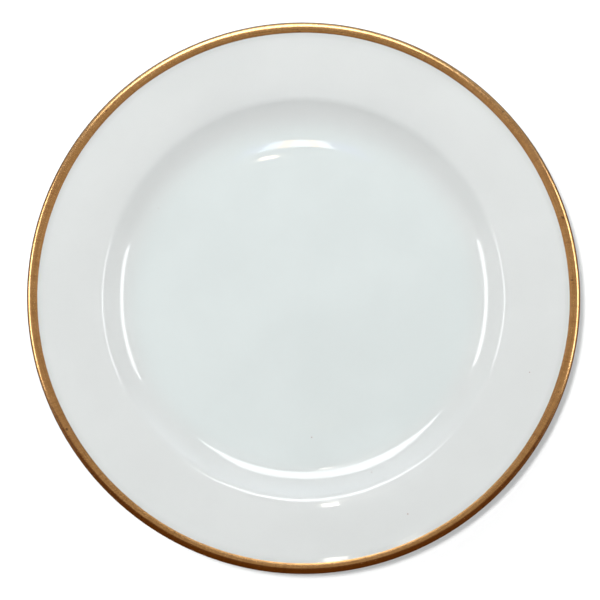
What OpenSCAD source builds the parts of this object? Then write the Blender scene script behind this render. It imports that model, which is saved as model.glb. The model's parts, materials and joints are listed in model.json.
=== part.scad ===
// China dinner plate with a gilded edge.
//
// A jiggered porcelain body turned about the Z axis, glazed on its face, back and base, with a
// band of fired gold over the lip. The foot ring stands on z = 0 and its bearing face is bare.
// All sizes are in millimetres.

/* [Plate] */
// Diameter over the gilded edge
plate_d = 267; // [254:1:280]
// Slope of the rim, in degrees above level
rim_slope = 11.5; // [9:0.5:14]
// Slope of the turned-up verge that carries the gilding, in degrees
verge_slope = 18; // [16:0.5:22]
// Radius of the hollow curve that turns the rim up into the verge
verge_r = 43; // [30:1:60]
// Straight length of the verge, between its curve and the lip's crown
verge_l = 2.4; // [1.5:0.1:3.5]
// Radius of the lip's crown
crown_r = 5.7; // [4.5:0.1:6]
// Slope below level at which the crown turns over into the lip's edge, in degrees
crown_end = 18; // [12:1:22]
// Radius of the lip's edge
lip_r = 1.3; // [1.1:0.1:1.6]

/* [Well] */
// Diameter of the flat floor
floor_d = 131.5; // [126:0.5:136]
// Radius of the gentle curve that leaves the flat floor
floor_ease_r = 75; // [60:1:85]
// Slope at which that curve tightens into the cove, in degrees
cove_start = 12; // [8:1:15]
// Radius of the cove
cove_r = 37; // [33:1:40]
// Steepest slope of the wall, where the cove meets the shoulder, in degrees
wall_slope = 36.5; // [33:0.5:39]
// Radius of the shoulder
shoulder_r = 11; // [8:1:14]
// Slope at which the shoulder softens towards the rim, in degrees
shoulder_end = 18.5; // [16:0.5:21]
// Radius of the curve between the shoulder and the straight rim
rim_ease_r = 100; // [60:5:120]

/* [Back] */
// Thickness at the floor and in the cove, glaze included
wall_t = 3.9; // [3.4:0.1:4.6]
// Slope of the rim's underside, in degrees
back_rim_slope = 12.2; // [12:0.1:13]
// Slope of the underside below the wall, in degrees
back_wall_slope = 34; // [30:1:36]
// Radius of the hollow curve under the shoulder
back_shoulder_r = 16; // [10:1:20]

/* [Foot ring] */
// Diameter of the foot ring along the middle of its bearing face
foot_d = 165; // [158:1:170]
// Width of the flat bearing face
foot_w = 2.4; // [1.8:0.1:3.2]
// Height of the glazed base above the bearing face
foot_h = 2.6; // [2.2:0.1:3.2]
// Steepness of the foot ring's sides, in degrees
foot_slope = 66; // [58:1:75]
// Radius of the foot ring's lower corners
foot_corner_r = 1.0; // [0.7:0.1:1.2]
// Radius of the hollow curve between the foot ring and the belly
foot_outer_fillet = 3.2; // [2:0.1:4]
// Radius of the hollow curve between the foot ring and the base
foot_inner_fillet = 2.4; // [1.5:0.1:2.6]
// Length of side that is wiped clean of glaze above the corners
bare_side = 0.3; // [0.1:0.1:0.5]

/* [Glaze and gilding] */
// Thickness of the fired glaze
glaze_t = 0.3; // [0.2:0.05:0.4]
// Thickness that stands for the film of gold
gilt_t = 0.08; // [0.05:0.01:0.15]
// Width of the gold band on the face, seen from above
gilt_w = 5.2; // [4.8:0.1:6]
// Length of gold on the back, past the lip's curve
gilt_back = 0.6; // [0.2:0.1:1.5]

/* [Hidden] */

// Most that an arc's chords may fall short of its true curve
chord_error = 0.008;
// Sides of a full turn in the preview
$fn = 180;

// A profile is a chain of tangent arcs, joined by straight runs. It starts on the axis, at the
// floor, and goes out over the lip and back along the underside to the axis. An angle a is the
// direction of travel above level, so the outward normal is square to it on the left. An arc is
// [centre, q, from, to], where q is its radius, negative where the surface is hollow. Depth is
// measured along the normal, inwards from the glazed surface.
function normal(a) = [-sin(a), cos(a)];
function along(a) = [cos(a), sin(a)];
function point_on(arc, a, depth) = arc[0] + (arc[1] - depth) * normal(a);
function first_point(arc, depth, run = 0) = point_on(arc, arc[2], depth) - run * along(arc[2]);
function last_point(arc, depth, run = 0) = point_on(arc, arc[3], depth) + run * along(arc[3]);

// Steps that keep an arc within chord_error of its curve
function arc_steps(arc) =
    ceil(abs(arc[3] - arc[2]) / (2 * acos(1 - chord_error / abs(arc[1]))));
function arc_points(arc, depth) =
    let (n = arc_steps(arc))
    [for (i = [0 : n]) point_on(arc, arc[2] + (arc[3] - arc[2]) * i / n, depth)];
// Points of several arcs in a row. Two arcs that touch share one point.
function chain_points(arcs, depth) =
    let (all = [for (arc = arcs) each arc_points(arc, depth)])
    [for (i = [0 : len(all) - 1]) if (i == 0 || norm(all[i] - all[max(i, 1) - 1]) > 1e-6) all[i]];
function reversed(list) = [for (i = [len(list) - 1 : -1 : 0]) list[i]];

// Centre of the arc that carries on from another at angle a, after a straight run
function next_centre(arc, q, run = 0) =
    arc[0] + (arc[1] - q) * normal(arc[3]) + run * along(arc[3]);
// Distance of a line from the origin, for the line that leaves an arc at angle a
function line_offset(arc, a) = arc[0] * normal(a) + arc[1];
// Point that lies at distance d1 along normal(a1) and at distance d2 along normal(a2)
function crossing(a1, d1, a2, d2) =
    [d1 * cos(a2) - d2 * cos(a1), d1 * sin(a2) - d2 * sin(a1)] / sin(a2 - a1);

// Face, from the floor to the lip
floor_z = foot_h + wall_t;
floor_ease = [[floor_d / 2, floor_z + floor_ease_r], -floor_ease_r, 0, cove_start];
cove = [next_centre(floor_ease, -cove_r), -cove_r, cove_start, wall_slope];
shoulder = [next_centre(cove, shoulder_r), shoulder_r, wall_slope, shoulder_end];
rim_ease = [next_centre(shoulder, rim_ease_r), rim_ease_r, shoulder_end, rim_slope];

// The rim's straight run is what is left of the radius. The verge and the lip are placed first
// as if that run were nothing, and then moved out to the plate's edge.
function verge_after(run) =
    [next_centre(rim_ease, -verge_r, run), -verge_r, rim_slope, verge_slope];
function crown_after(run) =
    [next_centre(verge_after(run), crown_r, verge_l), crown_r, verge_slope, -crown_end];
edge_r = plate_d / 2 - gilt_t;
rim_run = (edge_r - lip_r - next_centre(crown_after(0), lip_r)[0]) / cos(rim_slope);
verge = verge_after(rim_run);
crown = crown_after(rim_run);
// The lip's edge is turned in two arcs, which meet at its outermost line
lip_centre = next_centre(crown, lip_r);
lip_face = [lip_centre, lip_r, -crown_end, -90];
lip_back = [lip_centre, lip_r, -90, verge_slope - 180];

// Back, from the lip to the foot ring. The underside of the verge and of the cove share their
// centres with the face, which keeps the thickness even.
back_rim_a = back_rim_slope - 180;
back_wall_a = back_wall_slope - 180;
foot_outer_a = foot_slope - 180;
back_verge_q = line_offset(lip_back, verge_slope - 180) - verge[0] * normal(verge_slope - 180);
back_verge = [verge[0], back_verge_q, verge_slope - 180, back_rim_a];
belly_q = cove_r + wall_t;
under_shoulder_d = line_offset(back_verge, back_rim_a) + back_shoulder_r;
under_wall_d = cove[0] * normal(back_wall_a) + belly_q + back_shoulder_r;
back_shoulder = [crossing(back_rim_a, under_shoulder_d, back_wall_a, under_wall_d),
    -back_shoulder_r, back_rim_a, back_wall_a];

// Foot ring. Its corners are set so that the bare body touches z = 0.
foot_corner_z = foot_corner_r - glaze_t;
foot_outer = [[(foot_d + foot_w) / 2, foot_corner_z], foot_corner_r, foot_outer_a, -180];
foot_inner = [[(foot_d - foot_w) / 2, foot_corner_z], foot_corner_r, -180, -180 - foot_slope];
belly_end = foot_outer_a - acos((line_offset(foot_outer, foot_outer_a) + foot_outer_fillet
    - cove[0] * normal(foot_outer_a)) / (belly_q + foot_outer_fillet));
belly = [cove[0], belly_q, back_wall_a, belly_end];
foot_fillet = [next_centre(belly, -foot_outer_fillet), -foot_outer_fillet, belly_end, foot_outer_a];

// Base, inside the foot ring
foot_inner_a = -180 - foot_slope;
base_fillet = [crossing(foot_inner_a, line_offset(foot_inner, foot_inner_a) + foot_inner_fillet,
    -180, foot_inner_fillet - foot_h), -foot_inner_fillet, foot_inner_a, -180];

face_arcs = [floor_ease, cove, shoulder, rim_ease, verge, crown, lip_face];
back_arcs = [lip_back, back_verge, back_shoulder, belly, foot_fillet];
foot_arcs = [foot_outer, foot_inner];

// Straight length of gold on the face, between its inner edge and the lip's crown
gilt_face = (gilt_w - plate_d / 2 + first_point(crown, -gilt_t)[0]) / cos(verge_slope);

// The four coated surfaces, each at a given depth
function face_surface(depth) = concat([[0, floor_z - depth]], chain_points(face_arcs, depth));
function back_surface(depth) =
    concat(chain_points(back_arcs, depth), [first_point(foot_outer, depth, bare_side)]);
function base_surface(depth) =
    concat([last_point(foot_inner, depth, bare_side)], arc_points(base_fillet, depth),
        [[0, foot_h + depth]]);
function gilt_surface(depth) =
    concat([first_point(crown, depth, gilt_face)],
        chain_points([crown, lip_face, lip_back], depth), [last_point(lip_back, depth, gilt_back)]);

// Coat turned about the axis, between its outer and its inner surface
module coat(outer, inner) {
    rotate_extrude()
    polygon(concat(outer, reversed(inner)));
}

// Fired body, everywhere one glaze thickness below the glazed surface
module porcelain_body() {
    color("#f1ede4")
    rotate_extrude()
    polygon(concat(
        [[0, floor_z - glaze_t]],
        chain_points(concat(face_arcs, back_arcs, foot_arcs, [base_fillet]), glaze_t),
        [[0, foot_h + glaze_t]]));
}

// Glaze on the face, from the middle of the floor to the outermost line of the lip
module face_glaze() {
    color("#dfe6e8")
    coat(face_surface(0), face_surface(glaze_t));
}

// Glaze on the back, from the outermost line of the lip down to the side of the foot ring
module back_glaze() {
    color("#d9e1e4")
    coat(back_surface(0), back_surface(glaze_t));
}

// Glaze on the base, inside the foot ring
module base_glaze() {
    color("#d4dde1")
    coat(base_surface(0), base_surface(glaze_t));
}

// Fired gold over the lip, lying on the glaze
module gilt_rim_band() {
    color("#b08548")
    coat(gilt_surface(-gilt_t), gilt_surface(0));
}

porcelain_body();
face_glaze();
back_glaze();
base_glaze();
gilt_rim_band();
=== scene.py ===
import json
import math
from collections import namedtuple

import bmesh
import bpy
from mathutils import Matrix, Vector


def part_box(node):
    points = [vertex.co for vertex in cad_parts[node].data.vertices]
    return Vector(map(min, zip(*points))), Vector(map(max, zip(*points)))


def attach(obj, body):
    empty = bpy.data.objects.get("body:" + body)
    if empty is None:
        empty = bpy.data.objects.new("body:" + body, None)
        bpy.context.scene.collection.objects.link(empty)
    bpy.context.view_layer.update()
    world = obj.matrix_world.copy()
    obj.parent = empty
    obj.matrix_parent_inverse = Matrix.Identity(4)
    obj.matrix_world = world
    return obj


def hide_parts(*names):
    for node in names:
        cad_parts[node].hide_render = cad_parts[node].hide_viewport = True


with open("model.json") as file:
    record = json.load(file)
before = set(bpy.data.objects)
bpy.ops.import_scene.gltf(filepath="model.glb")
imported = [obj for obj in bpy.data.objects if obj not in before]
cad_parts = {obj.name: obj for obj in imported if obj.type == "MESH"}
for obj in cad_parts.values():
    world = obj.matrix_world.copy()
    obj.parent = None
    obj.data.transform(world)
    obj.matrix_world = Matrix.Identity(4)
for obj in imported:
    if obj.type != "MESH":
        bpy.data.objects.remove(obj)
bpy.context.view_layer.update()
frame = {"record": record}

MM = 0.001

# ---------------------------------------------------------------------------------------------
# The plate's profile, from the frame's own places and the radii and slopes of its curves
# ---------------------------------------------------------------------------------------------

MOUNTS = {mount["name"]: mount for mount in frame["record"]["mounts"]}
FLOOR_Z = MOUNTS["well_floor"]["pos_m"][2]
FOOT_R = MOUNTS["foot_rest"]["pos_m"][0]
PLATE_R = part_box("gilt_rim_band")[1].x
EDGE_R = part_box("face_glaze")[1].x
GILT_T = PLATE_R - EDGE_R
GLAZE_T = EDGE_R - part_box("porcelain_body")[1].x
FOOT_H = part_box("base_glaze")[1].z - GLAZE_T
WALL_T = FLOOR_Z - FOOT_H

# Curves of the face
FLOOR_FLAT_R = 65.75 * MM
FLOOR_EASE_R = 75 * MM
COVE_START = 12
COVE_R = 37 * MM
WALL_SLOPE = 36.5
SHOULDER_R = 11 * MM
SHOULDER_END = 18.5
RIM_EASE_R = 100 * MM
RIM_SLOPE = 11.5
VERGE_R = 43 * MM
VERGE_SLOPE = 18
VERGE_L = 2.4 * MM
CROWN_R = 5.7 * MM
CROWN_END = 18
LIP_R = 1.3 * MM

# Curves of the back and the foot ring
BACK_RIM_SLOPE = 12.2
BACK_WALL_SLOPE = 34
BACK_SHOULDER_R = 16 * MM
FOOT_W = 2.4 * MM
FOOT_SLOPE = 66
FOOT_CORNER_R = 1.0 * MM
FOOT_OUTER_FILLET = 3.2 * MM
FOOT_INNER_FILLET = 2.4 * MM
BARE_SIDE = 0.3 * MM

# Gold band: its width on the face seen from above, its length on the back past the lip's curve,
# how much wider it is towards +Y, and how far its edges wander by hand
GILT_W = 5.2 * MM
GILT_BACK = 0.6 * MM
GILT_LEAN = 0.15 * MM
GILT_WANDER = 0.12 * MM

# Most that the chords of a shown curve, and of a hidden one, fall short of it
SHOWN_CHORD = 0.0006 * MM
HIDDEN_CHORD = 0.006 * MM
# Longest straight step on a shown surface, and on a hidden one
SHOWN_STEP = 2.5 * MM
HIDDEN_STEP = 10 * MM
# Points closer than this are one point
SAME_POINT = 0.001 * MM
# A point closer than this to the axis is on it
ON_AXIS = 1e-9
# Sides of a full turn
SEGMENTS = 360
# Edges that turn by more than this are shaded sharp
SHARP_ANGLE = 40

# An arc of the profile: centre, radius (negative where the surface is hollow), and its first and
# last angle of travel. A depth is measured inwards from the glazed surface, as in the CAD.
Arc = namedtuple("Arc", "centre q start end")


def normal(a):
    return Vector((-math.sin(math.radians(a)), math.cos(math.radians(a))))


def along(a):
    return Vector((math.cos(math.radians(a)), math.sin(math.radians(a))))


def point_on(arc, a, depth):
    return arc.centre + (arc.q - depth) * normal(a)


def first_point(arc, depth, run=0.0):
    return point_on(arc, arc.start, depth) - run * along(arc.start)


def last_point(arc, depth, run=0.0):
    return point_on(arc, arc.end, depth) + run * along(arc.end)


def arc_points(arc, depth, chord):
    widest_step = math.degrees(2 * math.acos(1 - chord / abs(arc.q)))
    steps = math.ceil(abs(arc.end - arc.start) / widest_step)
    turn = arc.end - arc.start
    return [point_on(arc, arc.start + turn * i / steps, depth) for i in range(steps + 1)]


def next_centre(arc, q, run=0.0):
    """Centre of the arc of radius q that carries on from arc, after a straight run."""
    return arc.centre + (arc.q - q) * normal(arc.end) + run * along(arc.end)


def line_offset(arc, a):
    """Distance from the origin of the line that leaves arc at angle a."""
    return arc.centre.dot(normal(a)) + arc.q


def crossing(a1, d1, a2, d2):
    """The point at distance d1 along normal(a1) and d2 along normal(a2)."""
    c1, s1 = along(a1)
    c2, s2 = along(a2)
    return Vector((d1 * c2 - d2 * c1, d1 * s2 - d2 * s1)) / math.sin(math.radians(a2 - a1))


def face_chain():
    """Arcs of the face, from the flat floor to the outermost line of the lip."""
    ease = Arc(Vector((FLOOR_FLAT_R, FLOOR_Z + FLOOR_EASE_R)), -FLOOR_EASE_R, 0, COVE_START)
    cove = Arc(next_centre(ease, -COVE_R), -COVE_R, COVE_START, WALL_SLOPE)
    shoulder = Arc(next_centre(cove, SHOULDER_R), SHOULDER_R, WALL_SLOPE, SHOULDER_END)
    rim_ease = Arc(next_centre(shoulder, RIM_EASE_R), RIM_EASE_R, SHOULDER_END, RIM_SLOPE)

    def verge_to_lip(run):
        verge = Arc(next_centre(rim_ease, -VERGE_R, run), -VERGE_R, RIM_SLOPE, VERGE_SLOPE)
        crown = Arc(next_centre(verge, CROWN_R, VERGE_L), CROWN_R, VERGE_SLOPE, -CROWN_END)
        return [verge, crown, Arc(next_centre(crown, LIP_R), LIP_R, -CROWN_END, -90)]

    short_by = EDGE_R - LIP_R - verge_to_lip(0.0)[-1].centre.x
    rim_run = short_by / math.cos(math.radians(RIM_SLOPE))
    return [ease, cove, shoulder, rim_ease] + verge_to_lip(rim_run)


def back_chain(cove, verge, lip):
    """Arcs of the back, from the outermost line of the lip to the side of the foot ring."""
    rim_a = BACK_RIM_SLOPE - 180
    wall_a = BACK_WALL_SLOPE - 180
    side_a = FOOT_SLOPE - 180
    belly_q = COVE_R + WALL_T
    lip_back = Arc(lip.centre, LIP_R, -90, VERGE_SLOPE - 180)
    under_verge_q = line_offset(lip_back, lip_back.end) - verge.centre.dot(normal(lip_back.end))
    under_verge = Arc(verge.centre, under_verge_q, lip_back.end, rim_a)
    rim_d = line_offset(under_verge, rim_a) + BACK_SHOULDER_R
    wall_d = cove.centre.dot(normal(wall_a)) + belly_q + BACK_SHOULDER_R
    shoulder = Arc(crossing(rim_a, rim_d, wall_a, wall_d), -BACK_SHOULDER_R, rim_a, wall_a)
    foot = foot_chain()[0]
    reach = line_offset(foot, side_a) + FOOT_OUTER_FILLET - cove.centre.dot(normal(side_a))
    belly_end = side_a - math.degrees(math.acos(reach / (belly_q + FOOT_OUTER_FILLET)))
    belly = Arc(cove.centre, belly_q, wall_a, belly_end)
    fillet = Arc(next_centre(belly, -FOOT_OUTER_FILLET), -FOOT_OUTER_FILLET, belly_end, side_a)
    return [lip_back, under_verge, shoulder, belly, fillet]


def foot_chain():
    """Outer and inner corner of the foot ring, set so that the bare body stands on z = 0."""
    z = FOOT_CORNER_R - GLAZE_T
    outer = Vector((FOOT_R + FOOT_W / 2, z))
    inner = Vector((FOOT_R - FOOT_W / 2, z))
    return [Arc(outer, FOOT_CORNER_R, FOOT_SLOPE - 180, -180),
            Arc(inner, FOOT_CORNER_R, -180, -180 - FOOT_SLOPE)]


def base_arc(foot_inner):
    """Hollow curve between the foot ring's inner side and the base."""
    a = foot_inner.end
    side_d = line_offset(foot_inner, a) + FOOT_INNER_FILLET
    centre = crossing(a, side_d, -180, FOOT_INNER_FILLET - FOOT_H)
    return Arc(centre, -FOOT_INNER_FILLET, a, -180)


FACE = face_chain()
CROWN, LIP = FACE[-2:]
BACK = back_chain(FACE[1], FACE[4], LIP)
FOOT = foot_chain()
BASE = base_arc(FOOT[1])


def filled(points, step):
    """The points, with more of them put in where two are further apart than step."""
    result = [points[0]]
    for a, b in zip(points, points[1:]):
        gap = (b - a).length
        if gap < SAME_POINT:
            continue
        parts = math.ceil(gap / step)
        result += [a + (b - a) * i / parts for i in range(1, parts + 1)]
    return result


def surface(arcs, depth, chord, before=(), after=()):
    """Points of a run of arcs at one depth, with straight runs between them filled in."""
    points = list(before)
    for arc in arcs:
        points += arc_points(arc, depth, chord)
    step = SHOWN_STEP if chord == SHOWN_CHORD else HIDDEN_STEP
    return filled(points + list(after), step)


# ---------------------------------------------------------------------------------------------
# Meshes, turned about Z
# ---------------------------------------------------------------------------------------------

def wander(r, z, phi):
    """Unevenness left by the mould and the kiln: the rim is a little out of round and out of
    level, and the floor has sunk and swollen a little. It fades out at the foot ring."""
    out = max(0.0, (r - FOOT_R) / (PLATE_R - FOOT_R))
    dr = out * out * (0.13 * math.cos(2 * phi + 1.8) + 0.06 * math.cos(3 * phi - 0.3)) * MM
    lift = out * out * (0.13 * math.cos(2 * phi + 0.9) + 0.06 * math.cos(5 * phi - 0.4)) * MM
    wave = out * 0.010 * math.sin(9 * phi + 260 * r) * MM
    inside = max(0.0, 1 - (r / (0.95 * FOOT_R)) ** 2) ** 2
    sag = inside * (-0.05 + 0.03 * math.cos(2 * phi + 2.0) * r / FOOT_R) * MM
    x = (r + dr) * math.cos(phi)
    y = (r + dr) * math.sin(phi)
    return x, y, z + lift + wave + sag


def turned(name, outline):
    """A closed skin of revolution. outline(phi) gives its section at that angle, always with the
    same number of points; a section that starts and ends on the axis is closed there."""
    mesh = bmesh.new()
    rings = []
    first = outline(0.0)
    on_axis = [abs(p.x) < ON_AXIS for p in first]
    for at_axis, p in zip(on_axis, first):
        rings.append([mesh.verts.new(wander(0.0, p.y, 0.0))] if at_axis else [])
    for s in range(SEGMENTS):
        phi = 2 * math.pi * s / SEGMENTS
        for ring, at_axis, p in zip(rings, on_axis, outline(phi)):
            if not at_axis:
                ring.append(mesh.verts.new(wander(p.x, p.y, phi)))
    pairs = list(zip(rings, rings[1:]))
    if not on_axis[0]:
        pairs.append((rings[-1], rings[0]))
    for a, b in pairs:
        if len(a) == len(b) == 1:
            continue
        for s in range(SEGMENTS):
            t = (s + 1) % SEGMENTS
            corners = [a[0]] if len(a) == 1 else [a[s], a[t]]
            corners += [b[0]] if len(b) == 1 else [b[t], b[s]]
            mesh.faces.new(corners)
    bmesh.ops.recalc_face_normals(mesh, faces=mesh.faces)
    data = bpy.data.meshes.new(name)
    mesh.to_mesh(data)
    mesh.free()
    data.shade_smooth()
    data.set_sharp_from_angle(angle=math.radians(SHARP_ANGLE))
    piece = bpy.data.objects.new(name, data)
    bpy.context.scene.collection.objects.link(piece)
    return piece


def coat(name, side):
    """A coat of glaze. side(depth, chord) gives its shown surface at depth 0, and the hidden one
    below it at the glaze's thickness."""
    section = side(0, SHOWN_CHORD) + side(GLAZE_T, HIDDEN_CHORD)[::-1]
    return turned(name, lambda phi: section)


def axis_point(z):
    return Vector((0.0, z))


def make_face():
    def side(depth, chord):
        return surface(FACE, depth, chord, before=[axis_point(FLOOR_Z - depth)])
    return coat("face_glaze_coat", side)


def make_back():
    def side(depth, chord):
        return surface(BACK, depth, chord, after=[first_point(FOOT[0], depth, BARE_SIDE)])
    return coat("back_glaze_coat", side)


def make_base():
    def side(depth, chord):
        start = last_point(FOOT[1], depth, BARE_SIDE)
        return surface([BASE], depth, chord, before=[start], after=[axis_point(FOOT_H + depth)])
    return coat("base_glaze_coat", side)


def make_body():
    before = [axis_point(FLOOR_Z - GLAZE_T)]
    after = [axis_point(FOOT_H + GLAZE_T)]
    section = surface(FACE + BACK + FOOT + [BASE], GLAZE_T, HIDDEN_CHORD, before, after)
    return turned("biscuit_body", lambda phi: section)


def make_gilding():
    lip_back = BACK[0]
    crown_start_r = first_point(CROWN, -GILT_T).x
    straight = (crown_start_r - (PLATE_R - GILT_W)) / math.cos(math.radians(VERGE_SLOPE))

    def outline(phi):
        hand = 0.5 * math.sin(3 * phi + 0.7) + 0.3 * math.sin(7 * phi) + 0.2 * math.sin(16 * phi)
        run = straight + GILT_LEAN * math.sin(phi) + GILT_WANDER * hand

        def side(depth, chord):
            points = [first_point(CROWN, depth, run)] + arc_points(CROWN, depth, chord)
            points += arc_points(LIP, depth, chord)[1:] + arc_points(lip_back, depth, chord)[1:]
            return points + [last_point(lip_back, depth, GILT_BACK + 0.5 * GILT_WANDER * hand)]
        return side(-GILT_T, SHOWN_CHORD) + side(0.0, HIDDEN_CHORD)[::-1]
    return turned("gilt_band", outline)


# ---------------------------------------------------------------------------------------------
# Materials
# ---------------------------------------------------------------------------------------------

class Nodes:
    """A material's node tree, with one Principled shader and short calls to add nodes to it."""

    def __init__(self, name):
        self.material = bpy.data.materials.new(name)
        self.material.use_nodes = True
        self.tree = self.material.node_tree
        self.shader = self.tree.nodes["Principled BSDF"]
        self.place = self.add("ShaderNodeTexCoord").outputs["Object"]

    def add(self, kind, **settings):
        node = self.tree.nodes.new(kind)
        for key, value in settings.items():
            setattr(node, key, value)
        return node

    def put(self, socket, value):
        """Links value to the socket when it is another socket, or sets it."""
        if isinstance(value, bpy.types.NodeSocket):
            self.tree.links.new(value, socket)
        else:
            socket.default_value = value

    def math(self, operation, a, b=0.0):
        node = self.add("ShaderNodeMath", operation=operation)
        self.put(node.inputs[0], a)
        self.put(node.inputs[1], b)
        return node.outputs[0]

    def noise(self, vector, scale, detail=3.0, roughness=0.5):
        node = self.add("ShaderNodeTexNoise")
        self.put(node.inputs["Vector"], vector)
        node.inputs["Scale"].default_value = scale
        node.inputs["Detail"].default_value = detail
        node.inputs["Roughness"].default_value = roughness
        return node.outputs["Fac"]

    def spread(self, value, low, high, to_low=0.0, to_high=1.0):
        """Maps low..high smoothly to to_low..to_high, clamped."""
        node = self.add("ShaderNodeMapRange", interpolation_type="SMOOTHSTEP")
        for name, v in (("Value", value), ("From Min", low), ("From Max", high),
                        ("To Min", to_low), ("To Max", to_high)):
            self.put(node.inputs[name], v)
        return node.outputs["Result"]

    def mix(self, factor, a, b):
        """Colour a where factor is 0, colour b where it is 1."""
        node = self.add("ShaderNodeMix", data_type="RGBA")
        self.put(node.inputs[0], factor)
        self.put(node.inputs[6], a)
        self.put(node.inputs[7], b)
        return node.outputs[2]

    def polar(self):
        """(cosine, sine, radius, height) of the shaded point about the plate's axis."""
        split = self.add("ShaderNodeSeparateXYZ")
        self.put(split.inputs[0], self.place)
        x, y, z = split.outputs
        squared = self.math("ADD", self.math("MULTIPLY", x, x), self.math("MULTIPLY", y, y))
        radius = self.math("SQRT", self.math("ADD", squared, 1e-10))
        return self.math("DIVIDE", x, radius), self.math("DIVIDE", y, radius), radius, z

    def vector(self, x, y, z):
        node = self.add("ShaderNodeCombineXYZ")
        for socket, value in zip(node.inputs, (x, y, z)):
            self.put(socket, value)
        return node.outputs[0]

    def bump(self, height, distance):
        node = self.add("ShaderNodeBump")
        node.inputs["Strength"].default_value = 1.0
        node.inputs["Distance"].default_value = distance
        self.put(node.inputs["Height"], height)
        self.put(self.shader.inputs["Normal"], node.outputs[0])


def colour(r, g, b):
    return (r, g, b, 1.0)


# Iron specks in the face's glaze: where they lie on the plate, and how far they reach
SPECKS = (
    (4 * MM, -68 * MM, 0.45 * MM),
    (50 * MM, -105 * MM, 0.50 * MM),
    (109 * MM, -37 * MM, 0.40 * MM),
    (-71 * MM, 44 * MM, 0.30 * MM),
    (33 * MM, -85 * MM, 0.35 * MM),
)


# Radii between which the well's tint turns into the rim's, and between which the glaze pooled at
# the foot of the shoulder deepens and then thins out again
TINT_TURNS = (78 * MM, 92 * MM)
POOL_DEEPENS = (74 * MM, 88 * MM)
POOL_THINS = (90 * MM, 96.5 * MM)
# Width of the painted shade: a darker line on the glaze along the gold band's inner edge
GOLD_EDGE_SHADE_WIDTH = 3.5 * MM
# How strong the clouding, the pooled tint and the painted shade by the gold are
CLOUDING = 0.03
POOL_DEPTH = 0.12
GOLD_EDGE_SHADE = 0.55
GLAZE_IOR = 1.52
GLAZE_ROUGHNESS = (0.025, 0.045)
RIPPLE_HEIGHT = 0.004 * MM


def glaze_material(name, inner, outer, pool_and_shade, specks=()):
    """Clear gloss glaze over white china. Its tint is inner in the well and outer on the rim, and
    nearer to the pooled tint where it lies deeper. Along the gold band's inner edge that tint is
    mixed in again as a darker line of painted shade. It has faint clouding, an eggshell ripple
    and the iron specks."""
    n = Nodes(name)
    _, _, radius, _ = n.polar()
    cloud = n.spread(n.noise(n.place, 22, 4), 0.35, 0.65)
    base = n.mix(n.spread(radius, *TINT_TURNS), inner, outer)
    base = n.mix(n.math("MULTIPLY", cloud, CLOUDING), base, colour(0, 0, 0))
    rise = n.spread(radius, *POOL_DEEPENS)
    fall = n.spread(radius, *POOL_THINS, 1.0, 0.0)
    pool = n.math("MULTIPLY", n.math("MULTIPLY", rise, fall), POOL_DEPTH)
    base = n.mix(pool, base, pool_and_shade)
    # Painted shade: the glaze darkens towards the gold band's inner edge
    gilt_r = PLATE_R - GILT_W
    edge_shade_mask = n.spread(radius, gilt_r - GOLD_EDGE_SHADE_WIDTH, gilt_r, 0.0, GOLD_EDGE_SHADE)
    base = n.mix(edge_shade_mask, base, pool_and_shade)
    flat = n.add("ShaderNodeVectorMath", operation="MULTIPLY")
    n.put(flat.inputs[0], n.place)
    flat.inputs[1].default_value = (1.0, 1.0, 0.0)
    for x, y, reach in specks:
        distance = n.add("ShaderNodeVectorMath", operation="DISTANCE")
        n.put(distance.inputs[0], flat.outputs[0])
        distance.inputs[1].default_value = (x, y, 0.0)
        ragged = n.math("MULTIPLY", n.noise(n.place, 2600, 2), 0.5 * reach)
        dot = n.spread(n.math("ADD", distance.outputs["Value"], ragged),
                       0.55 * reach, 1.1 * reach, 0.75, 0.0)
        base = n.mix(dot, base, colour(0.30, 0.10, 0.05))
    n.put(n.shader.inputs["Base Color"], base)
    rough = n.spread(n.noise(n.place, 60, 3), 0.3, 0.7, *GLAZE_ROUGHNESS)
    n.put(n.shader.inputs["Roughness"], rough)
    n.shader.inputs["IOR"].default_value = GLAZE_IOR
    n.bump(n.noise(n.place, 95, 2), RIPPLE_HEIGHT)
    return n.material


def gilt_material():
    """Fired gold, burnished round the edge by hand and aged: streaks run along the band, brush
    marks cross it, some patches are browner, and small nicks show dark."""
    n = Nodes("aged_gilt")
    cosine, sine, radius, height = n.polar()

    def by_angle(density, across):
        """A place for noise that goes by the angle about the axis. A higher density makes the
        noise finer along the band."""
        turn = n.math("MULTIPLY", cosine, density), n.math("MULTIPLY", sine, density)
        return n.vector(*turn, across)

    down_the_band = n.math("MULTIPLY", n.math("SUBTRACT", radius, height), 2600.0)
    streaks = n.noise(by_angle(9.0, down_the_band), 1.0, 4, 0.6)
    patches = n.noise(n.place, 130, 4, 0.6)
    grain = n.noise(n.place, 1500, 2)
    bright = colour(0.60, 0.38, 0.185)
    brown = colour(0.49, 0.29, 0.12)
    base = n.mix(n.spread(streaks, 0.35, 0.68), bright, brown)
    hatch = n.noise(by_angle(150.0, 0.0), 1.0, 2)
    base = n.mix(n.spread(hatch, 0.45, 0.75, 0.0, 0.45), base, colour(0.36, 0.19, 0.07))
    base = n.mix(n.spread(patches, 0.50, 0.75, 0.0, 0.4), base, colour(0.38, 0.20, 0.07))
    nicks = n.spread(n.noise(n.place, 330, 2), 0.70, 0.76, 0.0, 0.7)
    base = n.mix(nicks, base, colour(0.12, 0.05, 0.02))
    n.put(n.shader.inputs["Base Color"], base)
    n.shader.inputs["Metallic"].default_value = 1.0
    worn = n.spread(streaks, 0.3, 0.7, 0.15, 0.20)
    dull = n.spread(grain, 0.3, 0.7, 0.0, 0.04)
    n.put(n.shader.inputs["Roughness"], n.math("ADD", worn, dull))
    n.bump(grain, 0.002 * MM)
    return n.material


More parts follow.
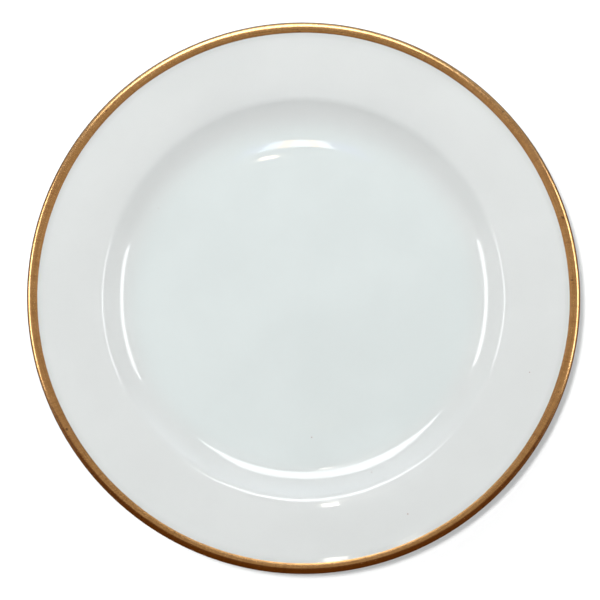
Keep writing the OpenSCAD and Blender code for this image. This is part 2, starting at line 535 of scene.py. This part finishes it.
def biscuit_material():
    """Bare fired body on the foot ring: matt, faintly granular and grey from standing."""
    n = Nodes("bare_biscuit")
    grain = n.noise(n.place, 2200, 3)
    wear = n.spread(n.noise(n.place, 70, 4), 0.4, 0.7)
    base = n.mix(wear, colour(0.80, 0.76, 0.68), colour(0.60, 0.56, 0.49))
    n.put(n.shader.inputs["Base Color"], base)
    n.put(n.shader.inputs["Roughness"], n.spread(grain, 0.3, 0.7, 0.70, 0.90))
    n.bump(grain, 0.02 * MM)
    return n.material


def floor_material():
    """White paper that is lit to near white-out, as a catalogue picture's ground is. Part of
    that is a glow of its own."""
    n = Nodes("white_ground")
    base = n.mix(n.noise(n.place, 3), colour(0.54, 0.54, 0.54), colour(0.56, 0.56, 0.56))
    n.put(n.shader.inputs["Base Color"], base)
    n.shader.inputs["Roughness"].default_value = 0.9
    n.shader.inputs["Emission Color"].default_value = colour(1, 1, 1)
    n.shader.inputs["Emission Strength"].default_value = 0.21
    return n.material


# ---------------------------------------------------------------------------------------------
# The object
# ---------------------------------------------------------------------------------------------

def finish_piece(piece, node, material):
    piece.data.materials.append(material)
    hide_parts(node)
    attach(piece, "root")
    return piece


WELL_TINT = colour(0.733, 0.792, 0.790)
RIM_TINT = colour(0.752, 0.776, 0.772)
BACK_TINT = colour(0.725, 0.778, 0.775)
# Tint of the glaze pooled in the cove. The painted shade next to the gold band is mixed towards
# it too
POOL_AND_SHADE_TINT = colour(0.640, 0.665, 0.655)

face_glaze = glaze_material("face_glaze", WELL_TINT, RIM_TINT, POOL_AND_SHADE_TINT, SPECKS)
back_glaze = glaze_material("back_glaze", BACK_TINT, BACK_TINT, POOL_AND_SHADE_TINT)
PIECES = [
    finish_piece(make_body(), "porcelain_body", biscuit_material()),
    finish_piece(make_face(), "face_glaze", face_glaze),
    finish_piece(make_back(), "back_glaze", back_glaze),
    finish_piece(make_base(), "base_glaze", back_glaze),
    finish_piece(make_gilding(), "gilt_rim_band", gilt_material()),
]

# ---------------------------------------------------------------------------------------------
# Stage: ground, light and camera
# ---------------------------------------------------------------------------------------------

GROUND_SIZE = 12.0
ROOM_RADIUS = 40.0


def block(x, y, size_x, size_y):
    """Corners of a rectangle about (x, y)."""
    dx, dy = size_x / 2, size_y / 2
    return [(x - dx, y - dy), (x + dx, y - dy), (x + dx, y + dy), (x - dx, y + dy)]


def make_ground():
    mesh = bpy.data.meshes.new("ground")
    corners = block(0.0, 0.0, GROUND_SIZE, GROUND_SIZE)
    mesh.from_pydata([(x, y, 0) for x, y in corners], [], [(0, 1, 2, 3)])
    mesh.materials.append(floor_material())
    ground = bpy.data.objects.new("ground", mesh)
    ground.visible_glossy = False
    bpy.context.scene.collection.objects.link(ground)
    return ground


def make_panel(name, height, corners, radiance, tint=(1.0, 1.0, 1.0)):
    """A level light panel of even radiance, with its corners given in plan. The camera doesn't
    see it, and it blocks no other light, but gloss mirrors it unless that is turned off."""
    mesh = bpy.data.meshes.new(name)
    mesh.from_pydata([(x, y, height) for x, y in corners], [], [tuple(range(len(corners)))])
    material = bpy.data.materials.new(name)
    material.use_nodes = True
    tree = material.node_tree
    tree.nodes.remove(tree.nodes["Principled BSDF"])
    glow = tree.nodes.new("ShaderNodeEmission")
    glow.inputs["Color"].default_value = colour(*tint)
    glow.inputs["Strength"].default_value = radiance
    tree.links.new(glow.outputs[0], tree.nodes["Material Output"].inputs["Surface"])
    mesh.materials.append(material)
    panel = bpy.data.objects.new(name, mesh)
    panel.visible_camera = False
    panel.visible_shadow = False
    bpy.context.scene.collection.objects.link(panel)
    return panel


def lights_only(panel, pieces):
    """The panel's light falls on these pieces and on nothing else."""
    lit = bpy.data.collections.new(panel.name + "_lights")
    for piece in pieces:
        lit.objects.link(piece)
    panel.light_linking.receiver_collection = lit


def sky_colour(tree, toward, base, glows):
    """Colour of the sky in the direction of the socket toward: an even base and soft round glows.
    A glow is its azimuth (0 is +X, 90 is +Y) and zenith angle, its spread, all in degrees, and
    its colour."""
    def link_math(kind, operation, first, second=None):
        node = tree.nodes.new(kind)
        node.operation = operation
        tree.links.new(first, node.inputs[0])
        if second is not None:
            node.inputs[1].default_value = second
        return node

    even = tree.nodes.new("ShaderNodeRGB")
    even.outputs[0].default_value = colour(*base)
    total = even.outputs[0]
    for azimuth, zenith, spread, tint in glows:
        flat = along(azimuth) * math.sin(math.radians(zenith))
        middle = (flat.x, flat.y, math.cos(math.radians(zenith)))
        dot = link_math("ShaderNodeVectorMath", "DOT_PRODUCT", toward, middle)
        off = link_math("ShaderNodeMath", "SUBTRACT", dot.outputs["Value"], 1.0)
        narrow = 1 / math.radians(spread) ** 2
        fade = link_math("ShaderNodeMath", "MULTIPLY", off.outputs[0], narrow)
        level = link_math("ShaderNodeMath", "EXPONENT", fade.outputs[0])
        lit = link_math("ShaderNodeVectorMath", "MULTIPLY_ADD", level.outputs[0], tint)
        tree.links.new(total, lit.inputs[2])
        total = lit.outputs[0]
    return total


def make_ambient(base, glows):
    """The soft light from all round that the plate and the ground are lit by. The camera sees it
    as a plain white backdrop, and nothing mirrors it."""
    world = bpy.data.worlds.new("studio")
    bpy.context.scene.world = world
    world.use_nodes = True
    world.cycles_visibility.glossy = False
    tree = world.node_tree
    toward = tree.nodes.new("ShaderNodeTexCoord").outputs["Generated"]
    ambient = tree.nodes["Background"]
    tree.links.new(sky_colour(tree, toward, base, glows), ambient.inputs["Color"])
    white = tree.nodes.new("ShaderNodeBackground")
    white.inputs["Color"].default_value = colour(1, 1, 1)
    shown = tree.nodes.new("ShaderNodeMixShader")
    rays = tree.nodes.new("ShaderNodeLightPath")
    tree.links.new(rays.outputs["Is Camera Ray"], shown.inputs[0])
    tree.links.new(ambient.outputs[0], shown.inputs[1])
    tree.links.new(white.outputs[0], shown.inputs[2])
    tree.links.new(shown.outputs[0], tree.nodes["World Output"].inputs["Surface"])


def make_room(base, glows):
    """The room that the gloss mirrors: an even base and soft glows. It lights nothing."""
    ball = bmesh.new()
    bmesh.ops.create_uvsphere(ball, u_segments=32, v_segments=16, radius=ROOM_RADIUS)
    mesh = bpy.data.meshes.new("room")
    ball.to_mesh(mesh)
    ball.free()
    material = bpy.data.materials.new("room")
    material.cycles.emission_sampling = "NONE"
    material.use_nodes = True
    tree = material.node_tree
    tree.nodes.remove(tree.nodes["Principled BSDF"])
    toward = tree.nodes.new("ShaderNodeVectorMath")
    toward.operation = "NORMALIZE"
    tree.links.new(tree.nodes.new("ShaderNodeTexCoord").outputs["Object"], toward.inputs[0])
    glow = tree.nodes.new("ShaderNodeEmission")
    tree.links.new(sky_colour(tree, toward.outputs[0], base, glows), glow.inputs["Color"])
    tree.links.new(glow.outputs[0], tree.nodes["Material Output"].inputs["Surface"])
    mesh.materials.append(material)
    room = bpy.data.objects.new("room", mesh)
    room.visible_camera = False
    room.visible_diffuse = False
    room.visible_shadow = False
    bpy.context.scene.collection.objects.link(room)


def make_camera():
    """Almost overhead, leaning 4.7 degrees towards the front of the plate. The plate fills
    plate_share of the picture's width."""
    distance = 1.1
    elevation = math.radians(85.3)
    plate_share = 0.9224
    sensor = 36.0
    aim = Vector((-1.68 * MM, -2.2 * MM, LIP.centre.y))
    camera = bpy.data.objects.new("camera", bpy.data.cameras.new("camera"))
    camera.data.sensor_width = sensor
    camera.data.lens = sensor * plate_share * distance / (2 * PLATE_R)
    towards = Vector((0.0, -math.cos(elevation), math.sin(elevation)))
    camera.location = aim + distance * towards
    camera.rotation_euler = (-towards).to_track_quat("-Z", "Y").to_euler()
    camera.data.clip_start = 0.01
    bpy.context.scene.collection.objects.link(camera)
    bpy.context.scene.camera = camera


# What lights the plate and shows in its gloss. Places are in plan, with +X right and +Y up as the
# camera sees them, and panels are named for where they stand.
PANEL_Z = 1.0
WINDOW = [(0.36, 0.54), (0.28, 0.89), (0.00, 0.97), (-0.30, 0.97), (-0.45, 0.90), (-0.55, 0.53),
          (-0.35, 0.57), (0.00, 0.62), (0.20, 0.60)]
RIGHT_STRIP = [(0.775, -0.13), (0.955, -0.15), (0.945, 0.50), (0.745, 0.52)]
LEFT_STRIP = [(-0.805, -0.17), (-0.785, 0.45), (-0.99, 0.50), (-1.02, -0.20)]
WARM_LAMP = block(-0.057, 0.540, 0.037, 0.06)
WARM_STRIP = [(-0.045, 0.60), (-0.06, 0.61), (-0.19, 0.48), (-0.18, 0.46)]
WARM_WHITE = (1.0, 0.93, 0.84)

# A row of lamps far overhead, side by side along X: its height, its middle and depth along Y, and
# where the lamps meet. Each lamp has a radiance and a tint. The hollow well mirrors left for
# right, and these are named for the side that they show on there.
OVERHEAD_Z = 5.0
OVERHEAD_Y = -0.61
OVERHEAD_DEPTH = 0.45
OVERHEAD_EDGES = (0.455, 0.265, 0.157, 0.080, -0.028, -0.090, -0.165, -0.418)
OVERHEAD = (
    ("left_tail", 2.0, (0.55, 0.60, 1.00)),
    ("left_cool", 7.0, (0.76, 0.86, 1.00)),
    ("left_warm", 8.5, (1.00, 0.62, 0.32)),
    ("middle", 7.5, (0.98, 1.00, 1.00)),
    ("right_warm", 8.5, (1.00, 0.62, 0.32)),
    ("right_cool", 8.0, (0.92, 0.97, 1.00)),
    ("right_tail", 2.2, (0.52, 0.50, 1.00)),
)

# A slanting warm lamp much higher up, which shows below the row's left end
LOW_LAMP_Z = 25.0
LOW_LAMP = [(0.85, -0.46), (0.53, -0.44), (0.28, 0.52), (0.50, 0.53)]

# A dark card that only the gloss mirrors. It is the dark side of the room, over and beyond the
# plate's front edge.
CARD_Z = 0.5
CARD = [(-0.65, -0.11), (-0.25, -0.13), (-0.10, -0.155), (0.10, -0.155), (0.25, -0.13),
        (0.65, -0.11), (0.65, -0.75), (-0.65, -0.75)]

# Soft square lamps that the gloss doesn't mirror: name and place across
FILLS = (("fill_left", -0.32), ("fill_right", 0.36))
FILL_Y = 0.02
FILL_Z = 0.5
FILL_SIZE = 0.20

# The lamp that throws the plate's thin shadow on the ground, and lights nothing else
KEY_Z = 1.8
KEY = block(-0.24, 0.04, 0.16, 0.16)

# Soft light on the plate and the ground, and the room that the gloss mirrors: an even base and
# glows, which are given as sky_colour takes them
AMBIENT = (0.186, 0.186, 0.186)
AMBIENT_GLOWS = (
    (-90, 62, 25, (0.13, 0.14, 0.16)),
    (0, 62, 25, (0.42, 0.42, 0.41)),
    (180, 62, 25, (0.46, 0.46, 0.44)),
)
ROOM = (0.157, 0.068, 0.015)
ROOM_GLOWS = (
    # Pale ceiling
    (0, 30, 14, (0.32, 0.31, 0.28)),
    (180, 30, 14, (0.32, 0.31, 0.28)),
    (-90, 10, 15, (0.46, 0.44, 0.36)),
    (90, 28, 13, (0.33, 0.33, 0.30)),
    # Pale walls to both sides
    (0, 62, 18, (0.70, 0.70, 0.70)),
    (180, 62, 18, (0.70, 0.70, 0.70)),
    # Cool daylight behind the plate
    (55, 69, 13, (0.90, 1.10, 1.25)),
    (90, 69, 13, (1.20, 1.55, 1.80)),
    (125, 69, 13, (0.90, 1.10, 1.25)),
)

ground = make_ground()
make_ambient(AMBIENT, AMBIENT_GLOWS)
make_room(ROOM, ROOM_GLOWS)
make_panel("window", PANEL_Z, WINDOW, radiance=7.1, tint=(0.97, 0.99, 1.0))
make_panel("strip_right", PANEL_Z, RIGHT_STRIP, radiance=7.5)
make_panel("strip_left", PANEL_Z, LEFT_STRIP, radiance=7.5)
lamps = []
for (name, radiance, tint), x1, x0 in zip(OVERHEAD, OVERHEAD_EDGES, OVERHEAD_EDGES[1:]):
    corners = block((x0 + x1) / 2, OVERHEAD_Y, x1 - x0, OVERHEAD_DEPTH)
    lamps.append(make_panel("overhead_" + name, OVERHEAD_Z, corners, radiance, tint))
low = make_panel("overhead_low", LOW_LAMP_Z, LOW_LAMP, radiance=15.0, tint=(1.0, 0.75, 0.55))
# These light all pieces but the gold, which would mirror them as a bright line
for lamp in lamps + [low]:
    lights_only(lamp, PIECES[:-1])
make_panel("lamp_warm", PANEL_Z, WARM_LAMP, radiance=13.0, tint=WARM_WHITE)
make_panel("strip_warm", PANEL_Z, WARM_STRIP, radiance=4.0, tint=WARM_WHITE)
card = make_panel("card", CARD_Z, CARD, radiance=1.0, tint=(0.157, 0.064, 0.012))
card.visible_diffuse = False
card.active_material.cycles.emission_sampling = "NONE"
for name, x in FILLS:
    fill = make_panel(name, FILL_Z, block(x, FILL_Y, FILL_SIZE, FILL_SIZE), radiance=2.7)
    fill.visible_glossy = False
    lights_only(fill, PIECES)
key = make_panel("key_ground", KEY_Z, KEY, radiance=430.0)
key.visible_glossy = False
lights_only(key, [ground])
make_camera()
bpy.context.scene.view_settings.view_transform = "Standard"
